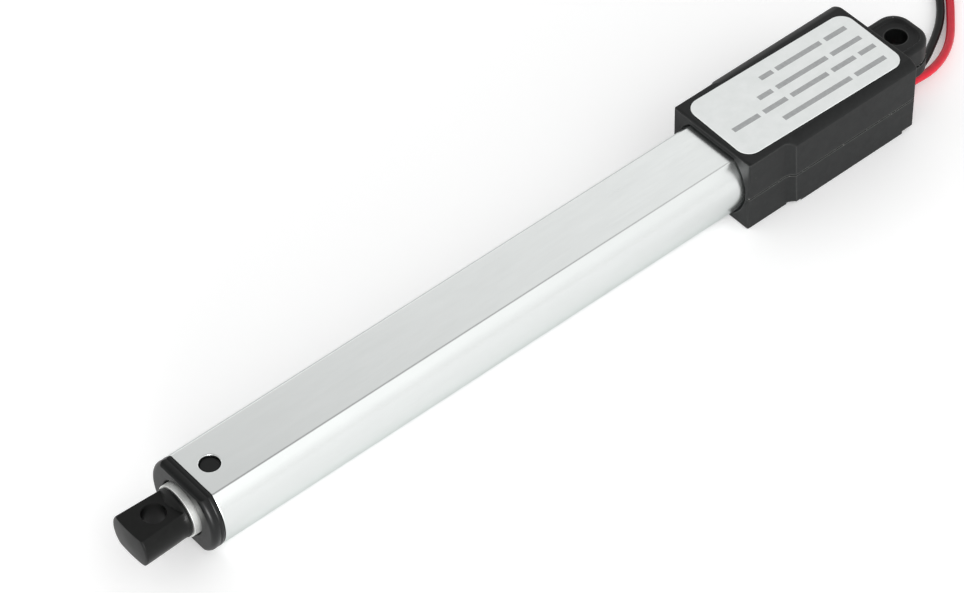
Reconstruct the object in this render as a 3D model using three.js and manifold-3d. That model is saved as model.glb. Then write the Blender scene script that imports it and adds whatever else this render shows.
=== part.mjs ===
// Small in-line linear actuator, retracted: black two-shell motor housing with a rear lug,
// flat-sided aluminium tube, front cap, piston rod and rod end, with the drive train inside.
//
// Millimetres. +X runs from the rear lug to the rod end, +Y to the side the leads leave by,
// +Z up. While building, X = 0 is the rear pin hole's axis and Z = 0 the tube's axis; the whole
// group is then moved so that the origin is the middle of the base.

import * as THREE from 'three';
import { mergeVertices } from 'three/addons/utils/BufferGeometryUtils.js';
import Module from 'manifold-3d';

const wasm = await Module();
wasm.setup();

// ---- Driving dimensions ---------------------------------------------------------------------

const pinSpacing = 155; // rear hole to rod-end hole, retracted
const pinHoleRadius = 2;

const housing = { rear: 5, front: 41.8, top: 7.31, bottom: -7.37, halfWide: 9.98, halfNarrow: 9.07 };
const waist = { rear: 30.5, front: 33.4 }; // where the wide rear part steps in to the narrow front
const seamZ = -0.6;
const shellGap = 0.1;
const lug = { end: 4.45, halfWidth: 4.87, corner: 3.6, halfHeight: 3.5, rootHalfWidth: 6.4 };
const lugRecess = { inset: 1.3, depth: 0.25 };

const tube = { rear: 34, front: 147.6, radius: 7.88, half: 5.91, boreRadius: 6.9, boreHalf: 5.05 };
const bossX = 144.1; // snap boss of the cap, in the hole of the tube's upper flat
const bossHoleRadius = 1.75;
const cap = { rear: 142.4, flange: 147.8, front: 149.9, plugRadius: 6.75, plugHalf: 4.95 };

const wiper = { rear: 148.4, front: 149.2, radius: 5.2 };

const rod = { rear: 38.7, front: 150.9, radius: 4.5, boreRadius: 2.6 };
const rodEnd = { rear: 151, front: 160.05, radius: 4.25, half: 2.84 };
const nut = { rear: 36.4, front: 42.2, radius: 6.7, half: 4.85 };
const screw = { rear: 28.3, shoulder: 33.2, front: 142.8, radius: 2, journal: 1.5 };

const motor = { rear: 9, front: 20.2, radius: 6, half: 5 };
const gearCentre = 3.3; // distance between the gear train's two axes
const gearRows = [[21.6, 22.9], [23.2, 24.5]];
const plates = [[20.5, 21.3], [24.8, 25.6]];
const fit = 0.1; // clearance of a piece in its seat

const board = { rear: 26.6, front: 147.2, inner: -5.8, outer: -6.4, half: 2 };

const leadDiameter = 1.5;
const leadLength = 150;
const leadExitZ = -4.9;
const leadExitY = 2.9; // middle of the pair
const leadSpacing = 1.7;
const parting = { at: 0.42, reach: 0.22, red: 0.25, black: -0.7 }; // shares of the way; bows
const coil = { x: -35.7, y: -13.6, radius: 9.2, halfWidth: 1.7, layers: 2 };

// ---- Materials ------------------------------------------------------------------------------

const paint = (color, roughness, metalness) =>
  new THREE.MeshStandardMaterial({ color, roughness, metalness });

const blackPlastic = paint(0x1b1c1e, 0.55, 0);
const glossBlack = paint(0x151617, 0.3, 0);
const aluminium = paint(0xc9cbcd, 0.35, 1);
const steel = paint(0x9fa2a5, 0.3, 1);
const brass = paint(0xc2a15a, 0.35, 1);
const bronze = paint(0xa77b4a, 0.45, 1);
const acetal = paint(0xe9e7df, 0.5, 0);
const rubber = paint(0x202020, 0.8, 0);
const paper = paint(0xf1f1ef, 0.6, 0);
const laminate = paint(0x2f6b45, 0.5, 0);
const redPvc = paint(0xd0121a, 0.4, 0);
const blackPvc = paint(0x17171a, 0.4, 0);

// ---- Solids ---------------------------------------------------------------------------------

// A closed mesh as a solid: shared corners merged, slivers dropped, faces turned outwards.
function solid(geometry) {
  const bare = geometry.clone();
  bare.deleteAttribute('normal');
  bare.deleteAttribute('uv');
  const merged = mergeVertices(bare, 1e-4);
  const position = merged.attributes.position;
  const index = merged.index.array;
  const corners = [];
  let volume = 0;
  const a = new THREE.Vector3();
  const b = new THREE.Vector3();
  const c = new THREE.Vector3();
  for (let i = 0; i < index.length; i += 3) {
    const [p, q, r] = [index[i], index[i + 1], index[i + 2]];
    if (p === q || q === r || r === p) continue;
    a.fromBufferAttribute(position, p);
    b.fromBufferAttribute(position, q);
    c.fromBufferAttribute(position, r);
    volume += a.dot(b.clone().cross(c));
    corners.push(p, q, r);
  }
  if (volume < 0) {
    for (let i = 0; i < corners.length; i += 3) {
      [corners[i], corners[i + 1]] = [corners[i + 1], corners[i]];
    }
  }
  return new wasm.Manifold(new wasm.Mesh({
    numProp: 3,
    vertProperties: new Float32Array(position.array),
    triVerts: new Uint32Array(corners),
  }));
}

function cut(body, ...tools) {
  return tools.reduce((left, tool) => left.subtract(tool), body);
}

function join(...bodies) {
  return bodies.reduce((left, right) => left.add(right));
}

function box(x0, x1, y0, y1, z0, z1) {
  const geometry = new THREE.BoxGeometry(x1 - x0, y1 - y0, z1 - z0);
  geometry.translate((x0 + x1) / 2, (y0 + y1) / 2, (z0 + z1) / 2);
  return solid(geometry);
}

// Round bar along X.
function barX(radius, x0, x1, y = 0, z = 0, sides = 24) {
  const geometry = new THREE.CylinderGeometry(radius, radius, x1 - x0, sides);
  geometry.rotateZ(-Math.PI / 2);
  geometry.translate((x0 + x1) / 2, y, z);
  return solid(geometry);
}

// Round bar along Z.
function barZ(radius, x, y, z0, z1, sides = 24) {
  const geometry = new THREE.CylinderGeometry(radius, radius, z1 - z0, sides);
  geometry.rotateX(Math.PI / 2);
  geometry.translate(x, y, (z0 + z1) / 2);
  return solid(geometry);
}

// Body turned about the X axis from [x, radius] pairs that start and end on the axis.
function turned(profile, sides = 24) {
  const points = profile.map(([x, radius]) => new THREE.Vector2(radius, x));
  const geometry = new THREE.LatheGeometry(points, sides);
  geometry.rotateZ(-Math.PI / 2);
  return solid(geometry);
}

// Flat ring along X.
function ringX(inner, outer, x0, x1, y = 0, z = 0, sides = 24) {
  return cut(barX(outer, x0, x1, y, z, sides), barX(inner, x0 - 1, x1 + 1, y, z, sides));
}

// Circle with its top and bottom cut flat, as [y, z] corners anticlockwise.
function flatRound(radius, half, sides = 11) {
  const reach = Math.asin(half / radius);
  const corners = [];
  for (const centre of [0, Math.PI]) {
    for (let i = 0; i <= sides; i++) {
      const angle = centre - reach + (2 * reach * i) / sides;
      corners.push([radius * Math.cos(angle), radius * Math.sin(angle)]);
    }
  }
  return corners;
}

// Skin over rings of matching corners, closed by flat ends; u and v are the ends' two axes.
function loft(rings, u, v) {
  const count = rings[0].length;
  const index = [];
  for (let level = 0; level + 1 < rings.length; level++) {
    for (let i = 0; i < count; i++) {
      const near = level * count + i;
      const next = level * count + ((i + 1) % count);
      index.push(near, next, near + count, next, next + count, near + count);
    }
  }
  const last = rings.length - 1;
  for (const [level, flip] of [[0, true], [last, false]]) {
    const outline = rings[level].map((corner) => new THREE.Vector2(corner[u], corner[v]));
    const turn = Math.sign(THREE.ShapeUtils.area(outline));
    for (const face of THREE.ShapeUtils.triangulateShape(outline, [])) {
      const faceTurn = Math.sign(THREE.ShapeUtils.area(face.map((corner) => outline[corner])));
      if ((faceTurn === turn) === flip) face.reverse();
      index.push(...face.map((corner) => corner + level * count));
    }
  }
  const geometry = new THREE.BufferGeometry();
  geometry.setAttribute('position', new THREE.Float32BufferAttribute(rings.flat(2), 3));
  geometry.setIndex(index);
  return solid(geometry);
}

// Straight bar along X with the flat-sided section.
function flatBarX(radius, half, x0, x1) {
  const ring = (x) => flatRound(radius, half).map(([y, z]) => [x, y, z]);
  return loft([ring(x0), ring(x1)], 1, 2);
}

// ---- Housing --------------------------------------------------------------------------------

const middleX = (housing.rear + housing.front) / 2;

// Half-width of the housing's side at x: wide at the rear, narrow in front of the waist.
function sideAt(x) {
  const t = THREE.MathUtils.smoothstep(x, waist.rear, waist.front);
  return THREE.MathUtils.lerp(housing.halfWide, housing.halfNarrow, t);
}

// One side of the plan outline, front to rear, as [x, y].
function sideOutline() {
  const front = housing.front;
  const rear = housing.rear;
  const waistSteps = [0, 0.2, 0.4, 0.6, 0.8, 1];
  return [
    [front, housing.halfNarrow - 0.6],
    [front - 0.18, housing.halfNarrow - 0.18],
    [front - 0.6, housing.halfNarrow],
    ...waistSteps.map((t) => {
      const x = THREE.MathUtils.lerp(waist.front, waist.rear, t);
      return [x, sideAt(x)];
    }),
    [rear + 0.8, housing.halfWide],
    [rear + 0.24, housing.halfWide - 0.24],
    [rear, housing.halfWide - 0.8],
  ];
}

// The housing's outline drawn in by inX at the ends and by inY at the sides, at height z(x).
function housingRing(inX, inY, z) {
  const half = sideOutline();
  const mirrored = half.map(([x, y]) => [x, -y]).reverse();
  return [...half, ...mirrored].map(([x, y]) => {
    const length = x > middleX ? housing.front - middleX : middleX - housing.rear;
    const edge = sideAt(x);
    return [
      middleX + ((x - middleX) * (length - inX)) / length,
      (y * (edge - inY(x))) / edge,
      z(x),
    ];
  });
}

function housingBody() {
  const { top, bottom } = housing;
  const wideShare = (x) => 1 - THREE.MathUtils.smoothstep(x, waist.rear, waist.front);
  const bevelWidth = (x) => THREE.MathUtils.lerp(0.6, 1.7, wideShare(x));
  const bevelDrop = (x) => THREE.MathUtils.lerp(0.4, 1.0, wideShare(x));
  const block = loft([
    housingRing(0.4, () => 0.45, () => bottom),
    housingRing(0.08, () => 0.1, () => bottom + 0.4),
    housingRing(0, () => 0, () => bottom + 0.9),
    housingRing(0, () => 0, (x) => top - bevelDrop(x)),
    housingRing(0.15, (x) => 0.4 * bevelWidth(x), (x) => top - 0.35 * bevelDrop(x)),
    housingRing(0.5, bevelWidth, () => top),
  ], 0, 1);
  const feet = [
    box(waist.rear + 0.1, waist.front - 0.2, -12, 12, bottom - 1, bottom + 0.45),
    box(housing.rear - 1, housing.rear + 2.6, -12, 12, bottom - 1, bottom + 0.7),
  ];
  return join(cut(block, ...feet), lugBody());
}

// Rear end of the tongue, drawn in by inset, from its near side round to its far side.
function tongueEnd(shape, inset) {
  const corner = lug.corner - inset;
  const x = lug.corner - lug.end;
  const y = lug.halfWidth - lug.corner;
  shape.absarc(x, y, corner, Math.PI / 2, Math.PI, false);
  shape.absarc(x, -y, corner, Math.PI, 1.5 * Math.PI, false);
}

function raised(shape, z0, z1) {
  const geometry = new THREE.ExtrudeGeometry(shape, {
    depth: z1 - z0,
    bevelEnabled: false,
    curveSegments: 9,
  });
  geometry.translate(0, 0, z0);
  return solid(geometry);
}

// Rounded tongue that carries the rear pin hole.
function lugBody() {
  const { halfHeight, halfWidth, rootHalfWidth } = lug;
  const root = housing.rear + 0.6;
  const tongue = new THREE.Shape();
  tongue.moveTo(root, -rootHalfWidth);
  tongue.lineTo(root, rootHalfWidth);
  tongue.quadraticCurveTo(root - 1, halfWidth + 0.1, 2.2, halfWidth);
  tongueEnd(tongue, 0);
  tongue.lineTo(2.2, -halfWidth);
  tongue.quadraticCurveTo(root - 1, -halfWidth - 0.1, root, -rootHalfWidth);
  const recess = new THREE.Shape();
  recess.moveTo(housing.rear - 0.1, -halfWidth + lugRecess.inset);
  recess.lineTo(housing.rear - 0.1, halfWidth - lugRecess.inset);
  tongueEnd(recess, lugRecess.inset);
  return cut(
    raised(tongue, -halfHeight, halfHeight),
    raised(recess, halfHeight - lugRecess.depth, halfHeight + 1),
    barZ(pinHoleRadius, 0, 0, -6, 6),
  );
}

const screwPosts = [[12, -8.1], [12, 8.1], [26, -8.1], [26, 8.1]];
const screwHead = { radius: 1.15, top: housing.bottom + 1.2 };
const screwShank = { radius: 0.7, top: 3 };

function housingHollow() {
  const screwHoles = screwPosts.flatMap(([x, y]) => [
    barZ(screwHead.radius + fit, x, y, housing.bottom - 1, screwHead.top + fit, 20),
    barZ(screwShank.radius + fit, x, y, housing.bottom - 1, screwShank.top + 0.5, 16),
  ]);
  const leadHoles = leadOffsets.map((offset) =>
    barX(leadDiameter / 2 + fit, housing.rear - 1, 7, leadExitY + offset, leadExitZ, 16));
  return [
    box(housing.rear + 1.4, 29.9, -6.6, 6.6, -5.7, 5.7), // motor bay
    barX(3.4, 29.8, tube.rear, 0, 0), // coupler and screw pass here
    barX(4.5 + fit, 30.3, 32.7, 0, 0), // seat of the screw's bush
    box(29.8, tube.rear, -6.7, -4.6, -2.5, 2.5), // slot for the switch board
    flatBarX(tube.radius + fit, tube.half + fit, tube.rear - 0.3, housing.front + 1),
    ...screwHoles,
    ...leadHoles,
  ];
}

// ---- Tube, cap and rod ----------------------------------------------------------------------

// The end that sits in the housing is turned down a little.
function tubeBody() {
  const seated = flatBarX(tube.radius - 0.05, tube.half - 0.05, tube.rear, housing.front + 0.2);
  const open = flatBarX(tube.radius, tube.half, housing.front + 0.1, tube.front);
  return cut(
    join(seated, open),
    flatBarX(tube.boreRadius, tube.boreHalf, tube.rear - 1, tube.front + 1),
    barZ(bossHoleRadius, bossX, 0, 3, 8, 24),
  );
}

function capBody() {
  const ring = (x, inset) =>
    flatRound(tube.radius - inset, tube.half - inset).map(([y, z]) => [x, y, z]);
  const flange = loft([
    ring(cap.flange, 0.12),
    ring(cap.flange + 0.2, 0),
    ring(cap.front - 0.8, 0),
    ring(cap.front - 0.25, 0.22),
    ring(cap.front, 0.75),
  ], 1, 2);
  const plug = flatBarX(cap.plugRadius, cap.plugHalf, cap.rear, cap.flange + 0.5);
  const boss = barZ(bossHoleRadius - 0.2, bossX, 0, cap.plugHalf - 0.2, tube.half - 0.15, 24);
  return cut(
    join(flange, plug, boss),
    barX(rod.radius + 0.12, cap.rear - 1, cap.front + 1, 0, 0, 40),
    barX(5.35, wiper.rear - 0.1, wiper.front + 0.1, 0, 0, 40), // groove of the wiper
    box(cap.rear - 1, cap.flange - 0.3, -7, board.inner + 1.1, -2.45, 2.45), // slot for the board
  );
}

function rodEndBody() {
  const { rear, front, radius, half } = rodEnd;
  const spigotRadius = rod.boreRadius - fit;
  const body = turned([
    [rear - 5.7, 0],
    [rear - 5.7, spigotRadius],
    [rear, spigotRadius],
    [rear, radius - 0.3],
    [rear + 0.25, radius],
    [front - 1.1, radius],
    [front - 0.5, radius - 0.5],
    [front - 0.12, radius - 1.8],
    [front, 0],
  ], 40);
  const flats = [1, -1].map((side) => {
    const step = [[rear + 0.95, 4.6], [rear + 1.6, half], [front + 1, half], [front + 1, 4.6]];
    const ring = (y) => step.map(([x, z]) => [x, y, side * z]);
    return loft([ring(-6), ring(6)], 0, 2);
  });
  return cut(body, ...flats, barZ(pinHoleRadius, pinSpacing, 0, -6, 6));
}

function nutBody() {
  return cut(
    flatBarX(nut.radius, nut.half, nut.rear, nut.front),
    barX(screw.radius + 0.12, nut.rear - 1, nut.front + 1),
    barX(rod.radius + fit, rod.rear - 0.3, nut.front + 1, 0, 0, 40),
    box(nut.rear - 1, nut.front + 1, -8, board.inner + 0.3, -2.3, 2.3), // rides over the board
  );
}

function screwBody() {
  return turned([
    [screw.rear, 0],
    [screw.rear, screw.journal],
    [screw.shoulder, screw.journal],
    [screw.shoulder, screw.radius],
    [screw.front - 0.8, screw.radius],
    [screw.front, screw.journal - 0.2],
    [screw.front, 0],
  ], 24);
}

// ---- Motor and gears ------------------------------------------------------------------------

const motorShaftRadius = 0.5;
const outputShaftRadius = 1.2;
const toothGap = 0.15; // meshing gears are drawn this much under their pitch circles
const pitchRadii = { pinion: 0.943, idlerLarge: 2.357, idlerSmall: 1.1, output: 2.2 };

function gearboxPlate([x0, x1], shaftRadius) {
  const holes = pillarPlaces.map(([y, z]) => barX(0.35, x0 - 1, x1 + 1, y, z, 12));
  return cut(
    box(x0, x1, -6, 6, -5, 5),
    barX(shaftRadius + fit, x0 - 1, x1 + 1, 0, 0, 20),
    barX(0.5, x0 - 1, x1 + 1, gearCentre, 0, 16),
    ...holes,
  );
}

const pillarPlaces = [[-5, 4], [-5, -4], [5, 4]];

function idlerGear() {
  const [large, small] = gearRows;
  const body = join(
    barX(pitchRadii.idlerLarge - toothGap, large[0], large[1], gearCentre, 0, 28),
    barX(pitchRadii.idlerSmall - toothGap, large[1] - 0.1, small[1], gearCentre, 0, 20),
  );
  return cut(body, barX(0.5, large[0] - 1, small[1] + 1, gearCentre, 0, 16));
}

function couplerBody() {
  return cut(
    barX(2.9, 26, 30, 0, 0, 24),
    barX(outputShaftRadius + fit, 25, 28.15, 0, 0, 20),
    barX(screw.journal + fit, 28.15, 31, 0, 0, 20),
  );
}

// ---- Leads ----------------------------------------------------------------------------------

const leadOffsets = [leadSpacing / 2, -leadSpacing / 2]; // red, black

// Middle line of the pair on the floor, from the housing to where the coil starts.
const floorZ = housing.bottom + leadDiameter / 2 + 0.02;
const pairLine = new THREE.CatmullRomCurve3([
  [7.7, leadExitY, leadExitZ],
  [5, leadExitY, leadExitZ],
  [2, leadExitY, leadExitZ - 0.5],
  [-1.5, leadExitY, floorZ + 0.2],
  [-4.5, 2.75, floorZ],
  [-7.6, 1.9, floorZ],
  [-10.9, 0.3, floorZ],
  [-13.6, -1.5, floorZ],
  [-17, -4.5, floorZ],
  [-20.6, -8.3, floorZ],
  [-24.6, -13.5, floorZ],
  [-28.34, -19.12, floorZ],
].map((point) => new THREE.Vector3(...point)), false, 'centripetal');

// Each lead runs beside the middle line, and bows outwards where the pair parts.
function leadBody(offset, bow) {
  const points = [];
  const steps = 30;
  for (let i = 0; i <= steps; i++) {
    const at = i / steps;
    const heading = pairLine.getTangentAt(at);
    const right = new THREE.Vector3(heading.y, -heading.x, 0).normalize();
    const share = Math.min(1, Math.abs(at - parting.at) / parting.reach);
    const aside = offset + bow * Math.cos((share * Math.PI) / 2) ** 2;
    const point = pairLine.getPointAt(at).addScaledVector(right, aside);
    const clear = Math.hypot(point.x - coil.x, point.y - coil.y) - coil.radius - coil.halfWidth;
    if (clear > leadDiameter / 2 + 0.3) points.push(point);
  }
  const circle = new THREE.Shape();
  for (let i = 0; i < 8; i++) {
    const angle = (i * Math.PI) / 4;
    const corner = [(Math.cos(angle) * leadDiameter) / 2, (Math.sin(angle) * leadDiameter) / 2];
    if (i === 0) circle.moveTo(...corner);
    else circle.lineTo(...corner);
  }
  circle.closePath();
  return solid(new THREE.ExtrudeGeometry(circle, {
    steps: 30,
    bevelEnabled: false,
    extrudePath: new THREE.CatmullRomCurve3(points, false, 'centripetal'),
  }));
}

// The rest of both leads, as one ring on the floor.
function coilBody() {
  const z0 = housing.bottom + 0.02;
  const z1 = z0 + coil.layers * leadDiameter + 0.1;
  return cut(
    barZ(coil.radius + coil.halfWidth, coil.x, coil.y, z0, z1, 40),
    barZ(coil.radius - coil.halfWidth, coil.x, coil.y, z0 - 1, z1 + 1, 32),
  );
}

// ---- Label ----------------------------------------------------------------------------------

function labelBody() {
  const [halfLength, halfWidth, corner] = [17.35, 7.55, 2.5];
  const shape = new THREE.Shape();
  shape.moveTo(-halfLength, -halfWidth + corner);
  shape.absarc(-halfLength + corner, -halfWidth + corner, corner, Math.PI, 1.5 * Math.PI);
  shape.absarc(halfLength - corner, -halfWidth + corner, corner, 1.5 * Math.PI, 2 * Math.PI);
  shape.absarc(halfLength - corner, halfWidth - corner, corner, 0, Math.PI / 2);
  shape.absarc(-halfLength + corner, halfWidth - corner, corner, Math.PI / 2, Math.PI);
  const geometry = new THREE.ExtrudeGeometry(shape, {
    depth: 0.12,
    bevelEnabled: false,
    curveSegments: 6,
  });
  geometry.rotateZ(THREE.MathUtils.degToRad(-1.4));
  geometry.translate(23.35, 0.05, housing.top + 0.02);
  return solid(geometry);
}

// ---- Assembly -------------------------------------------------------------------------------

const actuator = new THREE.Group();

function add(name, body, material) {
  const mesh = body.getMesh();
  const geometry = new THREE.BufferGeometry();
  geometry.setAttribute('position', new THREE.Float32BufferAttribute(mesh.vertProperties, 3));
  geometry.setIndex(Array.from(mesh.triVerts));
  const piece = new THREE.Mesh(geometry, material);
  piece.name = name;
  actuator.add(piece);
}

const shells = cut(housingBody(), ...housingHollow());
const aboveSeam = box(-20, 60, -20, 20, seamZ + shellGap, 20);
const belowSeam = box(-20, 60, -20, 20, -20, seamZ - shellGap);
add('housing_upper', shells.intersect(aboveSeam), blackPlastic);
add('housing_lower', shells.intersect(belowSeam), blackPlastic);
screwPosts.forEach(([x, y], i) => {
  const head = barZ(screwHead.radius, x, y, housing.bottom + 0.2, screwHead.top, 20);
  const shank = barZ(screwShank.radius, x, y, screwHead.top - 0.1, screwShank.top, 16);
  add(`housing_screw_${i + 1}`, join(head, shank), steel);
});
add('rating_label', labelBody(), paper);

add('tube', tubeBody(), aluminium);
add('front_cap', capBody(), glossBlack);
add('wiper_ring', ringX(rod.radius + 0.05, wiper.radius, wiper.rear, wiper.front, 0, 0, 40), rubber);

add('piston_rod', ringX(rod.boreRadius, rod.radius, rod.rear, rod.front, 0, 0, 40), steel);
add('rod_end', rodEndBody(), blackPlastic);
add('drive_nut', nutBody(), acetal);

add('lead_screw', screwBody(), steel);
add('screw_bush', ringX(screw.journal + 0.05, 4.5, 30.4, 32.6), bronze);
add('thrust_washer', ringX(screw.journal + fit, 3.1, 32.72, 33.08), steel);
add('shaft_coupler', couplerBody(), brass);
add('output_shaft', barX(outputShaftRadius, gearRows[1][0], 28, 0, 0, 20), steel);
const outputGearRadius = pitchRadii.output - toothGap;
add('output_gear', ringX(outputShaftRadius + 0.05, outputGearRadius, ...gearRows[1]), brass);
add('idler_gear', idlerGear(), brass);
add('idler_pin', barX(0.42, plates[0][0], plates[1][1], gearCentre, 0, 16), steel);
add('motor_pinion', ringX(0.53, pitchRadii.pinion - toothGap, ...gearRows[0], 0, 0, 20), brass);
add('motor_shaft', barX(motorShaftRadius, 15, gearRows[0][1], 0, 0, 16), steel);
add('gearbox_plate_rear', gearboxPlate(plates[0], motorShaftRadius), brass);
add('gearbox_plate_front', gearboxPlate(plates[1], outputShaftRadius), brass);
pillarPlaces.forEach(([y, z], i) => {
  add(`gearbox_pillar_${i + 1}`, barX(0.6, plates[0][1] + 0.05, plates[1][0] - 0.05, y, z, 16), steel);
});
const motorBody = flatBarX(motor.radius, motor.half, motor.rear, motor.front);
add('motor_can', cut(motorBody, barX(0.6, 14.5, motor.front + 1, 0, 0, 16)), steel);
const endCap = flatBarX(motor.radius - 0.4, motor.half - 0.4, motor.rear - 0.9, motor.rear - 0.2);
add('motor_end_cap', endCap, blackPlastic);
[-3.4, 3.4].forEach((y, i) => {
  add(`motor_terminal_${i + 1}`, box(6.7, 7.9, y - 0.15, y + 0.15, -0.8, 0.8), brass);
});

const boardStrip = box(board.rear, board.front, board.outer, board.inner, -board.half, board.half);
add('switch_board', boardStrip, laminate);
add('limit_switch_rear', box(34.3, 36.1, board.inner + 0.2, -4.75, -1.6, 1.6), blackPlastic);
add('limit_switch_front', box(cap.rear + 0.1, 145.6, board.inner + 0.2, -4.85, -1.6, 1.6), blackPlastic);
[-1.1, 1.1].forEach((z, i) => {
  add(`blocking_diode_${i + 1}`, barX(0.5, 27.2, 29.4, board.inner + 0.75, z, 16), glossBlack);
});

add('red_lead', leadBody(leadOffsets[0], parting.red), redPvc);
add('black_lead', leadBody(leadOffsets[1], parting.black), blackPvc);
add('lead_coil', coilBody(), redPvc);

const originX = (rodEnd.front - lug.end) / 2;
actuator.position.set(-originX, 0, -housing.bottom);

export default actuator;
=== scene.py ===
"""Looks of a small in-line linear actuator: motor housing, flat-sided tube, cap, rod and leads."""

import math

import bmesh
import bpy
from mathutils import Matrix, Vector


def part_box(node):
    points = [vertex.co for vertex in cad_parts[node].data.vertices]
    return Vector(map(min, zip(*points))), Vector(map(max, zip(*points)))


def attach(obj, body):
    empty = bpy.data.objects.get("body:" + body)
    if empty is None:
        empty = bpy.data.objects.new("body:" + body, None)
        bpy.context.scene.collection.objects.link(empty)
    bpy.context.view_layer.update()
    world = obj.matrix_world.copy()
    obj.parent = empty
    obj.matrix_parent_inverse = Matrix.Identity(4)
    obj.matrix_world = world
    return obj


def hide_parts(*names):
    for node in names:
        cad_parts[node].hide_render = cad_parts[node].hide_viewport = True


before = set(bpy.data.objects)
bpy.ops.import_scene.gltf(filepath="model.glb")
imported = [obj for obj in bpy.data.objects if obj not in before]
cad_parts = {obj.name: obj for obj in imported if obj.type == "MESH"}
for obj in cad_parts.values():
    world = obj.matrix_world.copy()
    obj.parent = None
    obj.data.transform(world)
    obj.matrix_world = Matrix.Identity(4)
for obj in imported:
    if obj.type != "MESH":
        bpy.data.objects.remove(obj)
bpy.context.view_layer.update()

# ---- Measures taken from the frame ----------------------------------------------------------

mm = 0.001

upper_low, upper_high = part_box("housing_upper")
lower_low, lower_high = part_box("housing_lower")
tube_low, tube_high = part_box("tube")
cap_low, cap_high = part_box("front_cap")
rod_low, rod_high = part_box("piston_rod")
end_low, end_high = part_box("rod_end")
label_low, label_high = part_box("rating_label")

AXIS_Z = (tube_low.z + tube_high.z) / 2
TUBE_RADIUS = (tube_high.y - tube_low.y) / 2
TUBE_HALF = (tube_high.z - tube_low.z) / 2
TUBE_SHOWING = 105.8 * mm
FRONT_X = tube_high.x - TUBE_SHOWING  # the housing's front face
LUG_END = 4.45 * mm
LUG_HALF_WIDTH = 4.87 * mm
LUG_CORNER = 3.6 * mm
PIN_SPACING = 155 * mm  # rear hole to rod-end hole, retracted
REAR_PIN_X = upper_low.x + LUG_END
FRONT_PIN_X = REAR_PIN_X + PIN_SPACING
REAR_X = REAR_PIN_X + 5 * mm  # the housing's rear wall
PIN_RADIUS = 2 * mm
TOP_Z = upper_high.z
HALF_WIDE = upper_high.y
HALF_NARROW = HALF_WIDE - 0.91 * mm
SEAM_Z = (upper_low.z + lower_high.z) / 2


# ---- Camera ---------------------------------------------------------------------------------

def make_camera():
    azimuth, elevation, roll = (math.radians(a) for a in (51.25, 47.25, -2.09))
    distance = 606.7 * mm
    target = Vector((8.65 * mm, -5.04 * mm, 4.67 * mm))
    back = Vector((
        math.cos(elevation) * math.cos(azimuth),
        math.cos(elevation) * math.sin(azimuth),
        math.sin(elevation),
    ))
    level = Vector((-math.sin(azimuth), math.cos(azimuth), 0))
    upright = back.cross(level)
    right = level * math.cos(roll) + upright * math.sin(roll)
    up = upright * math.cos(roll) - level * math.sin(roll)
    camera = bpy.data.objects.new("camera", bpy.data.cameras.new("camera"))
    camera.data.sensor_width = 36
    camera.data.lens = 142.5
    camera.data.clip_start = 0.01
    camera.data.clip_end = 20
    camera.matrix_world = Matrix((
        (right.x, up.x, back.x, target.x + back.x * distance),
        (right.y, up.y, back.y, target.y + back.y * distance),
        (right.z, up.z, back.z, target.z + back.z * distance),
        (0, 0, 0, 1),
    ))
    bpy.context.scene.collection.objects.link(camera)
    bpy.context.scene.camera = camera


make_camera()


# ---- Mesh helpers ---------------------------------------------------------------------------

def arc_angles(start, steps):
    """Evenly spaced angles over a quarter turn from start, which is in degrees."""
    return [math.radians(start + 90 * i / steps) for i in range(steps + 1)]


def mesh_object(name, points, faces):
    mesh = bpy.data.meshes.new(name)
    mesh.from_pydata([tuple(p) for p in points], [], faces)
    made = bmesh.new()
    made.from_mesh(mesh)
    bmesh.ops.remove_doubles(made, verts=made.verts, dist=1e-7)
    bmesh.ops.recalc_face_normals(made, faces=made.faces)
    made.to_mesh(mesh)
    made.free()
    obj = bpy.data.objects.new(name, mesh)
    bpy.context.scene.collection.objects.link(obj)
    return obj


def loft(name, rings):
    """Closed skin over rings of matching points."""
    count = len(rings[0])
    points = [p for ring in rings for p in ring]
    faces = []
    for level in range(len(rings) - 1):
        for i in range(count):
            j = (i + 1) % count
            low, high = level * count, (level + 1) * count
            faces.append((low + i, low + j, high + j, high + i))
    faces.append(tuple(range(count))[::-1])
    faces.append(tuple(range((len(rings) - 1) * count, len(rings) * count)))
    return mesh_object(name, points, faces)


def turned(name, profile, sides=64, y=0.0):
    """Body turned about the tube's axis from (x, radius) pairs; a closed loop if it keeps off it."""
    solid = profile[0][1] < 1e-6
    points = []
    faces = []
    for k in range(sides):
        angle = 2 * math.pi * k / sides
        for x, radius in profile:
            points.append((x, y + radius * math.cos(angle), AXIS_Z + radius * math.sin(angle)))
    count = len(profile)
    for k in range(sides):
        near, far = k * count, ((k + 1) % sides) * count
        for i in range(count - 1 if solid else count):
            j = (i + 1) % count
            faces.append((near + i, near + j, far + j, far + i))
    return mesh_object(name, points, faces)


def cylinder_z(name, radius, x, y, z0, z1, sides=48):
    ring = [
        (x + radius * math.cos(a), y + radius * math.sin(a))
        for a in (2 * math.pi * k / sides for k in range(sides))
    ]
    return loft(name, [[(px, py, z0) for px, py in ring], [(px, py, z1) for px, py in ring]])


def block(name, low, high):
    (x0, y0, z0), (x1, y1, z1) = low, high
    return loft(name, [
        [(x0, y0, z), (x1, y0, z), (x1, y1, z), (x0, y1, z)] for z in (z0, z1)
    ])


def bake(obj):
    """Applies the object's modifiers."""
    bpy.context.view_layer.update()
    graph = bpy.context.evaluated_depsgraph_get()
    mesh = bpy.data.meshes.new_from_object(obj.evaluated_get(graph))
    obj.modifiers.clear()
    obj.data = mesh
    return obj


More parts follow.
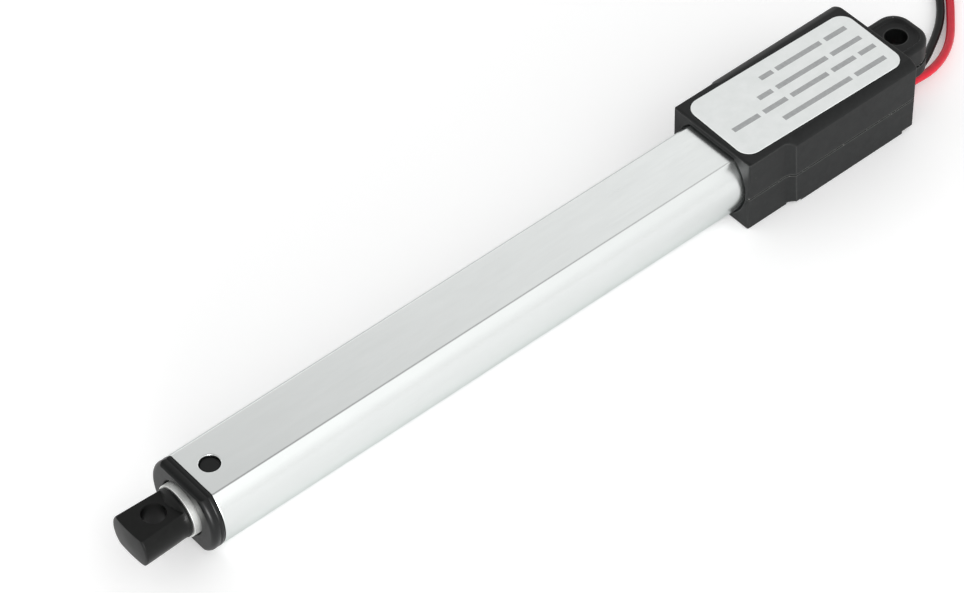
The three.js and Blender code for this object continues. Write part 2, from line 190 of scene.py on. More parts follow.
def combine(obj, operation, *tools):
    for tool in tools:
        change = obj.modifiers.new(operation, "BOOLEAN")
        change.operation = operation
        change.solver = "EXACT"
        change.object = tool
        bake(obj)
        bpy.data.objects.remove(tool)
    return obj


def copy_of(obj, name):
    twin = bpy.data.objects.new(name, obj.data.copy())
    bpy.context.scene.collection.objects.link(twin)
    return twin


def soften(obj, width, segments=2, angle=35):
    """Rounds the edges and shades the faces smooth."""
    edge = obj.modifiers.new("edge", "BEVEL")
    edge.width = width
    edge.segments = segments
    edge.limit_method = "ANGLE"
    edge.angle_limit = math.radians(angle)
    bake(obj)
    return smooth(obj, angle)


def smooth(obj, angle=35):
    """Smooth shading that keeps large faces flat and leaves edges over this angle sharp."""
    obj.data.shade_smooth()
    obj.data.set_sharp_from_angle(angle=math.radians(angle))
    even = obj.modifiers.new("even", "WEIGHTED_NORMAL")
    even.keep_sharp = True
    even.weight = 100
    return bake(obj)


def finish_piece(obj, material, body, slot, *nodes):
    """Gives a piece its material, its body and the CAD nodes that it stands for."""
    obj.data.materials.clear()
    obj.data.materials.append(material)
    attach(obj, body)
    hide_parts(*nodes)


def flat_round(radius, half, sides=40):
    """Circle with its top and bottom cut flat, as (y, z) pairs about the tube's axis."""
    reach = math.asin(min(1.0, half / radius))
    corners = []
    for centre in (0, math.pi):
        for i in range(sides + 1):
            angle = centre - reach + 2 * reach * i / sides
            corners.append((radius * math.cos(angle), radius * math.sin(angle)))
    return corners


def flat_ring(x, radius, half, sides=40):
    return [(x, y, AXIS_Z + z) for y, z in flat_round(radius, half, sides)]


# ---- Materials ------------------------------------------------------------------------------

MIX_FIRST, MIX_SECOND, MIX_RESULT = 6, 7, 2  # a Mix node's colour sockets


def set_stops(ramp, stops):
    """Stops of a colour ramp, as (position, grey) or (position, colour) pairs."""
    band = ramp.color_ramp
    while len(band.elements) < len(stops):
        band.elements.new(0.5)
    for element, (at, shade) in zip(band.elements, stops):
        element.position = at
        colour = shade if isinstance(shade, tuple) else (shade,) * 3
        element.color = (*colour, 1)


class Nodes:
    """A material's node tree, with one short call per node."""

    def __init__(self, name):
        self.material = bpy.data.materials.new(name)
        self.material.use_nodes = True
        self.tree = self.material.node_tree
        self.shader = self.tree.nodes["Principled BSDF"]
        self.place = self.add("ShaderNodeTexCoord").outputs["Object"]

    def add(self, kind, **settings):
        node = self.tree.nodes.new(kind)
        for key, value in settings.items():
            setattr(node, key, value)
        return node

    def link(self, output, socket):
        self.tree.links.new(output, socket)

    def stretched(self, scale):
        mapping = self.add("ShaderNodeMapping")
        mapping.inputs["Scale"].default_value = scale
        self.link(self.place, mapping.inputs["Vector"])
        return mapping.outputs["Vector"]

    def noise(self, scale, detail=4.0, stretch=(1, 1, 1), roughness=0.55):
        node = self.add("ShaderNodeTexNoise")
        node.inputs["Scale"].default_value = scale
        node.inputs["Detail"].default_value = detail
        node.inputs["Roughness"].default_value = roughness
        self.link(self.stretched(stretch), node.inputs["Vector"])
        return node.outputs["Fac"]

    def ramp(self, value, *stops):
        node = self.add("ShaderNodeValToRGB")
        set_stops(node, stops)
        self.link(value, node.inputs["Fac"])
        return node.outputs["Color"]

    def spread(self, value, low, high):
        node = self.add("ShaderNodeMapRange")
        node.inputs["To Min"].default_value = low
        node.inputs["To Max"].default_value = high
        self.link(value, node.inputs["Value"])
        return node.outputs["Result"]

    def mix(self, factor, first, second):
        node = self.add("ShaderNodeMix", data_type="RGBA")
        self.link(factor, node.inputs["Factor"])
        for index, value in ((MIX_FIRST, first), (MIX_SECOND, second)):
            if isinstance(value, tuple):
                node.inputs[index].default_value = (*value, 1)
            else:
                self.link(value, node.inputs[index])
        return node.outputs[MIX_RESULT]

    def math(self, operation, first, second):
        node = self.add("ShaderNodeMath", operation=operation)
        for socket, value in zip(node.inputs, (first, second)):
            if isinstance(value, (int, float)):
                socket.default_value = value
            else:
                self.link(value, socket)
        return node.outputs[0]

    def bump(self, height, distance, strength=1.0):
        node = self.add("ShaderNodeBump")
        node.inputs["Strength"].default_value = strength
        node.inputs["Distance"].default_value = distance
        self.link(height, node.inputs["Height"])
        if self.shader.inputs["Normal"].is_linked:
            before = self.shader.inputs["Normal"].links[0].from_socket
            self.link(before, node.inputs["Normal"])
        self.link(node.outputs["Normal"], self.shader.inputs["Normal"])

    def edges(self, radius, low, high):
        """0 on flat faces, rising to 1 where the surface bends within this radius."""
        soft = self.add("ShaderNodeBevel", samples=6)
        soft.inputs["Radius"].default_value = radius
        flat = self.add("ShaderNodeNewGeometry")
        dot = self.add("ShaderNodeVectorMath", operation="DOT_PRODUCT")
        self.link(soft.outputs["Normal"], dot.inputs[0])
        self.link(flat.outputs["Normal"], dot.inputs[1])
        node = self.add("ShaderNodeMapRange")
        node.inputs["From Min"].default_value = high
        node.inputs["From Max"].default_value = low
        self.link(dot.outputs["Value"], node.inputs["Value"])
        return node.outputs["Result"]

    def colour(self, output):
        self.link(output, self.shader.inputs["Base Color"])

    def roughness(self, output):
        self.link(output, self.shader.inputs["Roughness"])

    def set(self, **values):
        for key, value in values.items():
            self.shader.inputs[key.replace("_", " ")].default_value = value


def moulded_plastic(name, dark, light, roughness, grain=0.012, shine=0.4, ior=1.5):
    """Moulded plastic; grain is the depth of its fine texture in millimetres."""
    n = Nodes(name)
    n.colour(n.ramp(n.noise(900, 3), (0.35, dark), (0.75, light)))
    n.roughness(n.spread(n.noise(350, 5), roughness - 0.06, roughness + 0.08))
    n.bump(n.noise(5200, 2), grain * mm, 0.6)
    n.bump(n.noise(260, 2), 0.03 * mm, 0.5)
    n.set(Specular_IOR_Level=shine, IOR=ior)
    return n.material


def housing_plastic():
    """Matt black plastic, its edges painted lighter as a painted highlight and as rubbed wear, with
    pale crumbs left along the moulding seam.
    """
    n = Nodes("housing_plastic")
    black, dark_grey = (0.005, 0.0055, 0.0055), (0.009, 0.0098, 0.0098)
    # The pale edge grey is partly rubbed wear and partly a painted highlight for the rims and
    # corners.
    wear_and_highlight, crumb = (0.06, 0.062, 0.06), (0.2, 0.2, 0.19)
    body = n.ramp(n.noise(1100, 4), (0.3, black), (0.8, dark_grey))
    # Where the surface bends, the colour is painted lighter: a painted highlight along the edges,
    # together with rubbed wear.
    worn_and_highlit = n.mix(n.edges(0.5 * mm, 0.8, 0.985), body, wear_and_highlight)
    split = n.add("ShaderNodeSeparateXYZ")
    n.link(n.place, split.inputs[0])
    from_seam = n.math("ABSOLUTE", n.math("SUBTRACT", split.outputs["Z"], SEAM_Z), 0)
    near_seam = n.math("LESS_THAN", from_seam, 0.26 * mm)
    crumbs = n.math("GREATER_THAN", n.noise(3200, 2), 0.655)
    specks = n.math("GREATER_THAN", n.noise(1700, 1), 0.83)
    pale = n.math("MAXIMUM", n.math("MULTIPLY", near_seam, crumbs), specks)
    n.colour(n.mix(pale, worn_and_highlit, crumb))
    n.roughness(n.spread(n.noise(420, 5), 0.44, 0.6))
    n.bump(n.noise(4200, 2), 0.012 * mm, 0.7)
    n.bump(n.noise(180, 2), 0.05 * mm, 0.4)
    n.set(Specular_IOR_Level=0.25)
    return n.material


def drawn_aluminium():
    """Satin extrusion with die lines along its length and a few scuffs."""
    n = Nodes("drawn_aluminium")
    lines = n.noise(2600, 3, (0.004, 1, 1))
    scuffs = n.noise(420, 6, (0.25, 1, 1), 0.7)
    bright, dull = (0.745, 0.765, 0.758), (0.71, 0.73, 0.722)
    n.colour(n.mix(n.spread(scuffs, -0.6, 1.2), bright, dull))
    n.roughness(n.math("ADD", n.spread(lines, 0.22, 0.28), n.spread(scuffs, -0.02, 0.03)))
    n.bump(lines, 0.002 * mm, 0.2)
    n.set(Metallic=1.0, Specular_Tint=(0.62, 0.645, 0.635, 1))
    return n.material


def metal(name, colour, roughness, around=True, wear=0.25, pits=0.004):
    """Machined metal with tool marks round the X axis, or along it; pits in millimetres."""
    n = Nodes(name)
    marks = n.noise(3200, 3, (1, 0.04, 0.04) if around else (0.03, 1, 1))
    stains = n.noise(300, 5)
    dull = tuple(c * (1 - wear) for c in colour)
    n.colour(n.mix(n.spread(stains, -0.4, 1.1), colour, dull))
    sheen = n.spread(marks, roughness - 0.06, roughness + 0.08)
    n.roughness(n.math("ADD", sheen, n.spread(stains, -0.05, 0.08)))
    n.bump(marks, 0.006 * mm, 0.5)
    n.bump(n.noise(2200, 2), pits * mm, 0.6)
    n.set(Metallic=1.0)
    return n.material


def lead_insulation(name, dark, light, shine):
    n = Nodes(name)
    n.colour(n.ramp(n.noise(700, 3), (0.3, dark), (0.8, light)))
    n.roughness(n.spread(n.noise(900, 4), 0.28, 0.42))
    n.bump(n.noise(1500, 2), 0.01 * mm, 0.4)
    n.set(Specular_IOR_Level=shine)
    return n.material


PLASTIC = housing_plastic()
CAP_PLASTIC = moulded_plastic(
    "cap_plastic", (0.0015, 0.0019, 0.0019), (0.003, 0.0036, 0.0036), 0.36,
    grain=0.004, shine=0.6, ior=1.3,
)
END_PLASTIC = moulded_plastic(
    "rod_end_plastic", (0.0022, 0.0024, 0.0022), (0.004, 0.0044, 0.004), 0.36,
    grain=0.008, shine=0.42, ior=1.3,
)
SWITCH_PLASTIC = moulded_plastic("switch_plastic", (0.01, 0.01, 0.011), (0.02, 0.02, 0.021), 0.5)
ACETAL = moulded_plastic("acetal", (0.72, 0.71, 0.66), (0.82, 0.81, 0.77), 0.42, 0.008)
RUBBER = moulded_plastic("seal_rubber", (0.012, 0.012, 0.012), (0.02, 0.02, 0.02), 0.75)
LAMINATE = moulded_plastic("board_laminate", (0.01, 0.09, 0.035), (0.02, 0.13, 0.05), 0.35)
ALUMINIUM = drawn_aluminium()
ROD_METAL = metal("rod_metal", (0.88, 0.89, 0.87), 0.5, wear=0.14, pits=0.02)
STEEL = metal("machined_steel", (0.56, 0.57, 0.58), 0.3)
CAN_STEEL = metal("can_steel", (0.62, 0.62, 0.60), 0.28, around=False)
BRASS = metal("brass", (0.78, 0.58, 0.26), 0.28)
BRONZE = metal("sintered_bronze", (0.52, 0.34, 0.18), 0.45)
RED_LEAD = lead_insulation("red_insulation", (0.5, 0.004, 0.018), (0.62, 0.008, 0.03), 0.35)
BLACK_LEAD = lead_insulation("black_insulation", (0.002, 0.002, 0.002), (0.005, 0.005, 0.005), 0.16)


# ---- Leads ----------------------------------------------------------------------------------

LEAD_DIAMETER = 1.5 * mm
LEAD_LENGTH = 150 * mm
LEAD_SPACING = 1.7 * mm
LEAD_EXIT_Y = 2.9 * mm  # middle of the pair
LEAD_EXIT_Z = 2.47 * mm
PARTING_AT = 0.42  # share of the way along the floor where the two leads stand furthest apart
PARTING_REACH = 0.22
LEAD_FLOOR = LEAD_DIAMETER / 2 + 0.02 * mm
LAYER_RISE = LEAD_DIAMETER + 0.04 * mm
CLIMB_FROM = 0.72  # share of the coil's first turn where the lead starts to climb onto itself
PAIR_STEPS = 30
COIL_STEPS = 28  # per turn
COIL_RADIUS = 9.2 * mm
COIL_X = REAR_PIN_X - 35.7 * mm
COIL_Y = -13.6 * mm
COIL_START = math.radians(-37)


def spline_through(points, steps):
    """Evenly spaced points on a smooth curve through these ones."""
    curve = bpy.data.curves.new("route", "CURVE")
    curve.dimensions = "3D"
    path = curve.splines.new("BEZIER")
    path.bezier_points.add(len(points) - 1)
    for knot, point in zip(path.bezier_points, points):
        knot.co = point
        knot.handle_left_type = knot.handle_right_type = "AUTO"
    path.resolution_u = 24
    route = bpy.data.objects.new("route", curve)
    bpy.context.scene.collection.objects.link(route)
    bpy.context.view_layer.update()
    graph = bpy.context.evaluated_depsgraph_get()
    line = [v.co.copy() for v in route.evaluated_get(graph).to_mesh().vertices]
    bpy.data.objects.remove(route)
    return resample(line, steps)


def resample(line, steps):
    lengths = [0.0]
    for a, b in zip(line, line[1:]):
        lengths.append(lengths[-1] + (b - a).length)
    made = []
    i = 0
    for k in range(steps + 1):
        along = lengths[-1] * k / steps
        while i < len(line) - 2 and lengths[i + 1] < along:
            i += 1
        share = (along - lengths[i]) / max(1e-12, lengths[i + 1] - lengths[i])
        made.append(line[i].lerp(line[i + 1], min(1.0, share)))
    return made


# Middle line of the pair, from inside the wall to where the coil starts, in millimetres;
# x runs from the rear pin hole.
PAIR_ROUTE = [
    (7.7, 2.9, 2.47),
    (5.0, 2.9, 2.47),
    (2.0, 2.9, 2.4),
    (-1.5, 2.9, 2.2),
    (-4.5, 2.75, 1.9),
    (-7.6, 1.9, 1.55),
    (-10.9, 0.3, 1.2),
    (-13.6, -1.5, 0.95),
    (-17.0, -4.5, 0.8),
    (-20.6, -8.3, 0.77),
    (-24.6, -13.5, 0.77),
    (-28.34, -19.12, 0.77),
]


def coil_points(line, radius):
    """What is left of a lead after this line, wound round the coil in two layers."""
    used = sum((b - a).length for a, b in zip(line, line[1:]))
    turns = (LEAD_LENGTH - used) / (2 * math.pi * radius)
    steps = math.ceil(turns * COIL_STEPS)
    wound = []
    for k in range(1, steps + 1):
        turn = turns * k / steps
        angle = COIL_START - 2 * math.pi * turn
        rise = min(1.0, max(0.0, (turn - CLIMB_FROM) / (1 - CLIMB_FROM)))
        height = LEAD_FLOOR + LAYER_RISE * rise * rise * (3 - 2 * rise)
        wound.append(Vector((
            COIL_X + radius * math.cos(angle), COIL_Y + radius * math.sin(angle), height
        )))
    return wound


def round_path(name, line):
    """Curve of a lead's thickness through these points."""
    curve = bpy.data.curves.new(name, "CURVE")
    curve.dimensions = "3D"
    curve.bevel_depth = LEAD_DIAMETER / 2
    curve.bevel_resolution = 5
    curve.use_fill_caps = True
    path = curve.splines.new("POLY")
    path.points.add(len(line) - 1)
    for knot, point in zip(path.points, line):
        knot.co = (*point, 1)
    path.use_smooth = True
    return curve


def lead(name, offset, bow, material, slot, nodes):
    """One lead of the pair: along the floor, bowing away from the other, then into the coil."""
    middle = spline_through(
        [Vector((REAR_PIN_X + x * mm, y * mm, z * mm)) for x, y, z in PAIR_ROUTE], PAIR_STEPS
    )
    line = []
    for i, point in enumerate(middle):
        heading = middle[min(i + 1, PAIR_STEPS)] - middle[max(i - 1, 0)]
        right = Vector((heading.y, -heading.x, 0)).normalized()
        share = min(1.0, abs(i / PAIR_STEPS - PARTING_AT) / PARTING_REACH)
        line.append(point + right * (offset + bow * math.cos(share * math.pi / 2) ** 2))
    line += coil_points(line, COIL_RADIUS - offset)
    obj = bpy.data.objects.new(name, round_path(name, line))
    bpy.context.scene.collection.objects.link(obj)
    finish_piece(obj, material, "base", slot, *nodes)


lead(
    "red_lead_insulation", LEAD_SPACING / 2, 0.25 * mm, RED_LEAD, "red_pvc",
    ["red_lead", "lead_coil"],
)
lead(
    "black_lead_insulation", -LEAD_SPACING / 2, -0.7 * mm, BLACK_LEAD, "black_pvc",
    ["black_lead"],
)


# ---- Housing --------------------------------------------------------------------------------

WAIST_REAR = REAR_PIN_X + 31.7 * mm
WAIST_FRONT = REAR_PIN_X + 33.7 * mm
WAIST_LEAN = 0.8 * mm  # how much further forward the waist stands at the top than at the floor
MIDDLE_X = (REAR_X + FRONT_X) / 2
FRONT_CORNER = 0.35 * mm
REAR_CORNER = 0.5 * mm
BOTTOM_ROUNDING = 0.2 * mm
FRONT_BEVEL = 0.55 * mm
REAR_BEVEL_SHARE = 0.22  # the top's bevel is much smaller along the rear edge
# Shares of the bevel's width and drop at each ring, rounded where it meets the side and the top.
BEVEL_RINGS = [
    (0, 1.12), (0.06, 0.9), (0.2, 0.66), (0.45, 0.38), (0.7, 0.16), (0.9, 0.035), (1.05, 0)
]
SEAM_HALF_GAP = 0.11 * mm

LUG_ROUNDING = 0.9 * mm
LUG_TOP = AXIS_Z + 3.62 * mm
LUG_BOTTOM = AXIS_Z - 3.5 * mm
LUG_FLOOR = AXIS_Z + 3.12 * mm  # the sunk face inside the raised rim
LUG_FLARE_X = REAR_PIN_X + 1.6 * mm
LUG_ROOT_X = REAR_X + 0.6 * mm
LUG_ROOT_HALF = 6.4 * mm


def blend_at(x):
    """0 in the wide rear part, 1 in the narrow front part: a cove that ends in a crisp edge."""
    t = min(1.0, max(0.0, (WAIST_FRONT - x) / (WAIST_FRONT - WAIST_REAR)))
    return 1 - t ** 2.4


def side_at(x):
    return HALF_WIDE + (HALF_NARROW - HALF_WIDE) * blend_at(x)


def bevel_width(x):
    """Width of the top's bevel along the side, much broader on the wide rear part."""
    return (0.28 + 1.47 * (1 - blend_at(x))) * mm


def bevel_drop(x):
    return (0.17 + 0.88 * (1 - blend_at(x))) * mm


def corner_points(x, y, radius, ahead):
    """Rounded vertical corner; ahead is 1 at the front and -1 at the rear."""
    corner = [
        (x + ahead * radius * (math.cos(angle) - 1), y + radius * (math.sin(angle) - 1))
        for angle in arc_angles(0, 6)
    ]
    return corner if ahead > 0 else corner[::-1]


def plan_side():
    """One side of the housing's outline from above, front to rear."""
    end_points = [y * mm for y in (2.5, 5.0, 7.2)]
    points = [(FRONT_X, y) for y in end_points]
    points += corner_points(FRONT_X, HALF_NARROW, FRONT_CORNER, 1)
    points += [(FRONT_X - x * mm, HALF_NARROW) for x in (2, 4, 6)]
    for i in range(13):
        x = WAIST_FRONT + (WAIST_REAR - WAIST_FRONT) * i / 12
        points.append((x, side_at(x)))
    points += [(WAIST_REAR - x * mm, HALF_WIDE) for x in (0.8, 4, 8, 12, 16, 20, 23)]
    points += corner_points(REAR_X, HALF_WIDE, REAR_CORNER, -1)
    points += [(REAR_X, y) for y in reversed(end_points)]
    return points


PLAN = plan_side()
PLAN = PLAN + [(x, -y) for x, y in reversed(PLAN)]


def housing_ring(inset, end_inset, z, across=0.0, down=0.0):
    """The outline drawn in at sides and ends; across and down are shares of the side's bevel."""
    ring = []
    for x, y in PLAN:
        front = x > MIDDLE_X
        half_length = abs((FRONT_X if front else REAR_X) - MIDDLE_X)
        shorter = end_inset if front else end_inset * REAR_BEVEL_SHARE
        edge = side_at(x)
        narrower = inset + across * bevel_width(x)
        height = z - down * bevel_drop(x)
        waist = WAIST_REAR - mm < x < WAIST_FRONT + 0.1 * mm
        ring.append((
            MIDDLE_X + (x - MIDDLE_X) * (half_length - shorter) / half_length
            + (WAIST_LEAN * height / TOP_Z if waist else 0),
            y * (edge - narrower) / edge,
            height,
        ))
    return ring


def housing_block():
    """Outer body: rounded bottom edge, straight sides, and a sloping bevel round the top."""
    rings = []
    for angle in arc_angles(0, 5):
        inset = BOTTOM_ROUNDING * (1 - math.sin(angle))
        rings.append(housing_ring(inset, inset, BOTTOM_ROUNDING * (1 - math.cos(angle))))
    for across, down in BEVEL_RINGS:
        rings.append(housing_ring(0, across * FRONT_BEVEL, TOP_Z, across, down))
    return loft("housing_block", rings)


def lug_end(inset):
    """Rear end of the tongue, drawn in by inset, from its near side round to its far side."""
    radius = LUG_CORNER - inset
    x = REAR_PIN_X - LUG_END + LUG_CORNER
    y = LUG_HALF_WIDTH - LUG_CORNER
    return [
        (x + radius * math.cos(angle), centre_y + radius * math.sin(angle))
        for centre_y, start in ((y, 90), (-y, 180))
        for angle in arc_angles(start, 24)
    ]


def lug_outline(inset):
    """Tongue outline from above: rounded end, straight sides, flared root."""
    half = LUG_HALF_WIDTH - inset
    flare = []
    for i in range(13):
        t = i / 12
        along = 2 * t * (1 - t) * 0.9 + t * t  # runs along the side first, then turns outwards
        flare.append((
            LUG_FLARE_X + (LUG_ROOT_X - LUG_FLARE_X) * along,
            half + (LUG_ROOT_HALF - half) * t * t,
        ))
    return lug_end(inset) + [(x, -y) for x, y in flare] + flare[::-1]


def lug_body(face, spread):
    """Tongue from the seam to its upper or lower face, with that face's rim rounded over."""
    up = 1 if face > SEAM_Z else -1
    levels = [(0, SEAM_Z)]
    for angle in arc_angles(0, 8):
        levels.append((
            LUG_ROUNDING * (1 - math.cos(angle)),
            face + up * LUG_ROUNDING * (math.sin(angle) - 1),
        ))
    return loft("lug", [
        [(x, y, z) for x, y in lug_outline(inset - spread)] for inset, z in levels[::up]
    ])


def lug_recess():
    """Sunk floor inside the lug's raised rim, with sloping sides, running into the rear wall."""
    wall_x = REAR_X - 0.02 * mm
    rings = []
    for inset, height in ((1.7, 0), (1.45, 0.06), (1.1, 0.42), (0.96, 0.58)):
        half = LUG_HALF_WIDTH - inset * mm
        outline = [(wall_x, half)] + lug_end(inset * mm) + [(wall_x, -half)]
        rings.append([(x, y, LUG_FLOOR + height * mm) for x, y in outline])
    return loft("recess", rings)


def tube_opening():
    """Seat of the tube, flared into a chamfered lip at the front face."""
    fit = 0.05 * mm
    lip = 0.4 * mm
    stations = [
        (tube_low.x - 0.3 * mm, fit),
        (FRONT_X - lip, fit),
        (FRONT_X + 0.1 * mm, fit + lip),
        (FRONT_X + 1 * mm, fit + lip),
    ]
    return loft("opening", [
        flat_ring(x, TUBE_RADIUS + grow, TUBE_HALF + grow) for x, grow in stations
    ])


def lead_hole(y):
    """Round hole through the rear wall for one lead."""
    radius = 0.82 * mm
    rear, front = REAR_X - 2 * mm, REAR_X + 3 * mm
    hole = turned("lead_hole", [(rear, 0), (rear, radius), (front, radius), (front, 0)], 24, y)
    hole.data.transform(Matrix.Translation((0, 0, LEAD_EXIT_Z - AXIS_Z)))
    return hole


def screw_room(index):
    """Recess for a screw's head and hole for its shank, from the underside."""
    low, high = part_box(f"housing_screw_{index}")
    x, y = (low.x + high.x) / 2, (low.y + high.y) / 2
    head_room = (high.x - low.x) / 2 + 0.12 * mm
    return (
        cylinder_z("head_room", head_room, x, y, -0.01, low.z + 1.1 * mm, 32),
        cylinder_z("shank_room", 0.8 * mm, x, y, -0.01, high.z + 0.1 * mm, 24),
    )


def underside_relief(rear, front, depth):
    """Shallow cut across the whole underside."""
    return block("relief", (rear, -0.02, -0.001), (front, 0.02, depth))


def housing_body():
    """Both shells in one piece, with the lug, and with all openings cut."""
    body = housing_block()
    combine(body, "UNION", lug_body(LUG_TOP, 0), lug_body(LUG_BOTTOM, 0.2 * mm))
    motor_bay = block(
        "bay",
        (REAR_X + 1.4 * mm, -6.6 * mm, AXIS_Z - 5.7 * mm),
        (tube_low.x - 0.2 * mm, 6.6 * mm, AXIS_Z + 5.7 * mm),
    )
    combine(
        body,
        "DIFFERENCE",
        motor_bay,
        tube_opening(),
        lug_recess(),
        cylinder_z("pin_hole", PIN_RADIUS, REAR_PIN_X, 0, -0.01, 0.03),
        underside_relief(REAR_PIN_X + 30.6 * mm, REAR_PIN_X + 33.2 * mm, 0.45 * mm),
        underside_relief(REAR_X - 2 * mm, REAR_X + 2.6 * mm, 0.7 * mm),
    )
    for side in (-1, 1):
        combine(body, "DIFFERENCE", lead_hole(LEAD_EXIT_Y + side * LEAD_SPACING / 2))
    for index in range(1, 5):
        combine(body, "DIFFERENCE", *screw_room(index))
    return body


def housing_shells():
    """The body parted at the seam into its two shells."""
    body = housing_body()
    halves = (
        ("upper_shell", SEAM_Z + SEAM_HALF_GAP, 0.05, "housing_upper"),
        ("lower_shell", -0.05, SEAM_Z - SEAM_HALF_GAP, "housing_lower"),
    )
    for name, z0, z1, node in halves:
        shell = copy_of(body, name)
        combine(shell, "INTERSECT", block("keep", (-0.2, -0.05, z0), (0.2, 0.05, z1)))
        soften(shell, 0.12 * mm, 2, 32)
        finish_piece(shell, PLASTIC, "base", "black_plastic", node)
    bpy.data.objects.remove(body)


housing_shells()


# ---- Tube, cap and rod ----------------------------------------------------------------------

TUBE_BORE_RADIUS = 6.9 * mm
TUBE_BORE_HALF = 5.05 * mm
BOSS_X = tube_high.x - 3.5 * mm
BOSS_RADIUS = 1.5 * mm
BOSS_HOLE_RADIUS = 1.72 * mm
CAP_PLUG_RADIUS = 6.7 * mm
CAP_PLUG_HALF = 4.9 * mm
CAP_BORE_RADIUS = 4.64 * mm
CAP_MOUTH_RADIUS = 4.95 * mm
CAP_EDGE = 0.9 * mm  # rounding of the cap's front edge
CAP_FLAT_SHARE = 0.45  # the flats are rounded less than the round sides
# Millimetres from the flange's rear and in from its outline: a narrow rim, then a fine groove.
CAP_RIM = [
    (0, 0.16), (0.1, 0.04), (0.24, 0), (0.52, 0.01), (0.64, 0.08), (0.72, 0.13), (0.82, 0.07),
    (0.98, 0.02),
]
ROD_BORE_RADIUS = 2.6 * mm
END_RADIUS = 4.25 * mm
END_HALF = 2.84 * mm
END_SHOULDER = rod_high.x + 0.06 * mm
# Millimetres in front of the shoulder, or behind the tip, and in from the rod end's radius.
END_SIDE = [(0.3, 0.14), (1.6, 0.12), (3.0, 0.05)]
END_TIP = [(0.6, -0.12), (0.45, -0.06), (0.33, 0.12), (0.26, 0.45), (0.14, 1.7), (0.04, 2.9)]
COLLAR_EDGE = [(0, 0.3), (0.08, 0.1), (0.2, 0), (0.42, 0)]
COLLAR_FLARE = [
    (0.48, 0.03), (0.56, 0.1), (0.72, 0.32), (0.95, 0.68), (1.18, 1.02), (1.45, 1.3), (1.8, 1.5)
]


def tube_shell():
    """Flat-sided tube with a hole in its upper flat near the front end."""
    outer = loft("tube_shell", [
        flat_ring(x, TUBE_RADIUS, TUBE_HALF, 72) for x in (tube_low.x, tube_high.x)
    ])
    bore = loft("bore", [
        flat_ring(x, TUBE_BORE_RADIUS, TUBE_BORE_HALF)
        for x in (tube_low.x - mm, tube_high.x + mm)
    ])
    hole = cylinder_z("hole", BOSS_HOLE_RADIUS, BOSS_X, 0, AXIS_Z + 3 * mm, AXIS_Z + 9 * mm, 64)
    combine(outer, "DIFFERENCE", bore, hole)
    soften(outer, 0.16 * mm, 3, 30)
    finish_piece(outer, ALUMINIUM, "base", "aluminium", "tube")


def cap_flange(rear_x):
    """Flange with a narrow rim and a well-rounded front."""
    profile = [(rear_x + x * mm, inset * mm) for x, inset in CAP_RIM]
    for angle in arc_angles(0, 8):
        profile.append((
            cap_high.x + CAP_EDGE * (math.sin(angle) - 1), CAP_EDGE * (1 - math.cos(angle))
        ))
    return loft("cap", [
        flat_ring(x, TUBE_RADIUS - inset, TUBE_HALF - inset * CAP_FLAT_SHARE)
        for x, inset in profile
    ])


def cap_piece():
    """Flange, plug, and the boss in the tube's hole, bored for the rod and slotted for the board."""
    rear_x = tube_high.x + 0.1 * mm
    flange = cap_flange(rear_x)
    plug = loft("plug", [
        flat_ring(x, CAP_PLUG_RADIUS, CAP_PLUG_HALF) for x in (cap_low.x, rear_x + 0.5 * mm)
    ])
    boss_top = AXIS_Z + TUBE_HALF - 0.45 * mm
    boss = cylinder_z("boss", BOSS_RADIUS, BOSS_X, 0, AXIS_Z + 4.7 * mm, boss_top)
    combine(flange, "UNION", plug, boss)
    bore = turned("bore", [
        (cap_low.x - mm, 0),
        (cap_low.x - mm, CAP_BORE_RADIUS),
        (cap_high.x - 0.4 * mm, CAP_BORE_RADIUS),
        (cap_high.x + 0.1 * mm, CAP_MOUTH_RADIUS),
        (cap_high.x + mm, CAP_MOUTH_RADIUS),
        (cap_high.x + mm, 0),
    ], 96)
    slot = block(
        "slot",
        (cap_low.x - mm, -7 * mm, AXIS_Z - 2.45 * mm),
        (rear_x - 0.2 * mm, -4.7 * mm, AXIS_Z + 2.45 * mm),
    )
    combine(flange, "DIFFERENCE", bore, slot)
    soften(flange, 0.07 * mm, 2, 40)
    finish_piece(flange, CAP_PLASTIC, "base", "gloss_black", "front_cap")


def rod_piece():
    """Hollow rod with a chamfered rear edge."""
    radius = (rod_high.z - rod_low.z) / 2
    chamfer = 0.25 * mm
    burr = 0.04 * mm
    rod = turned("rod_tube", [
        (rod_low.x, ROD_BORE_RADIUS),
        (rod_low.x, radius - chamfer),
        (rod_low.x + chamfer, radius),
        (rod_high.x - burr, radius),
        (rod_high.x, radius - burr),
        (rod_high.x, ROD_BORE_RADIUS),
    ], 96)
    smooth(rod)
    finish_piece(rod, ROD_METAL, "rod", "rod_metal", "piston_rod")


def rod_end_block():
    """Block with two flats and a gently domed tip."""
    tip = end_high.x
    side = [(END_SHOULDER + x * mm, END_RADIUS - inset * mm) for x, inset in END_SIDE]
    dome = [(tip - x * mm, END_RADIUS - inset * mm) for x, inset in END_TIP]
    body = turned("rod_end_block", [(side[0][0], 0), *side, *dome, (tip, 0)], 120)
    slab = block(
        "slab", (END_SHOULDER, -6 * mm, AXIS_Z - END_HALF), (tip + mm, 6 * mm, AXIS_Z + END_HALF)
    )
    combine(body, "INTERSECT", slab)
    return soften(body, 0.32 * mm, 4, 28)


def rod_end_collar():
    """Round collar at the rod, flaring into the block, with the spigot that sits in the rod."""
    spigot = 2.45 * mm
    outline = [
        (END_SHOULDER + x * mm, END_RADIUS - inset * mm)
        for x, inset in COLLAR_EDGE + COLLAR_FLARE
    ]
    return turned("collar", [
        (end_low.x, 0),
        (end_low.x, spigot),
        (END_SHOULDER, spigot),
        *outline,
        (outline[-1][0], 0),
    ], 120)


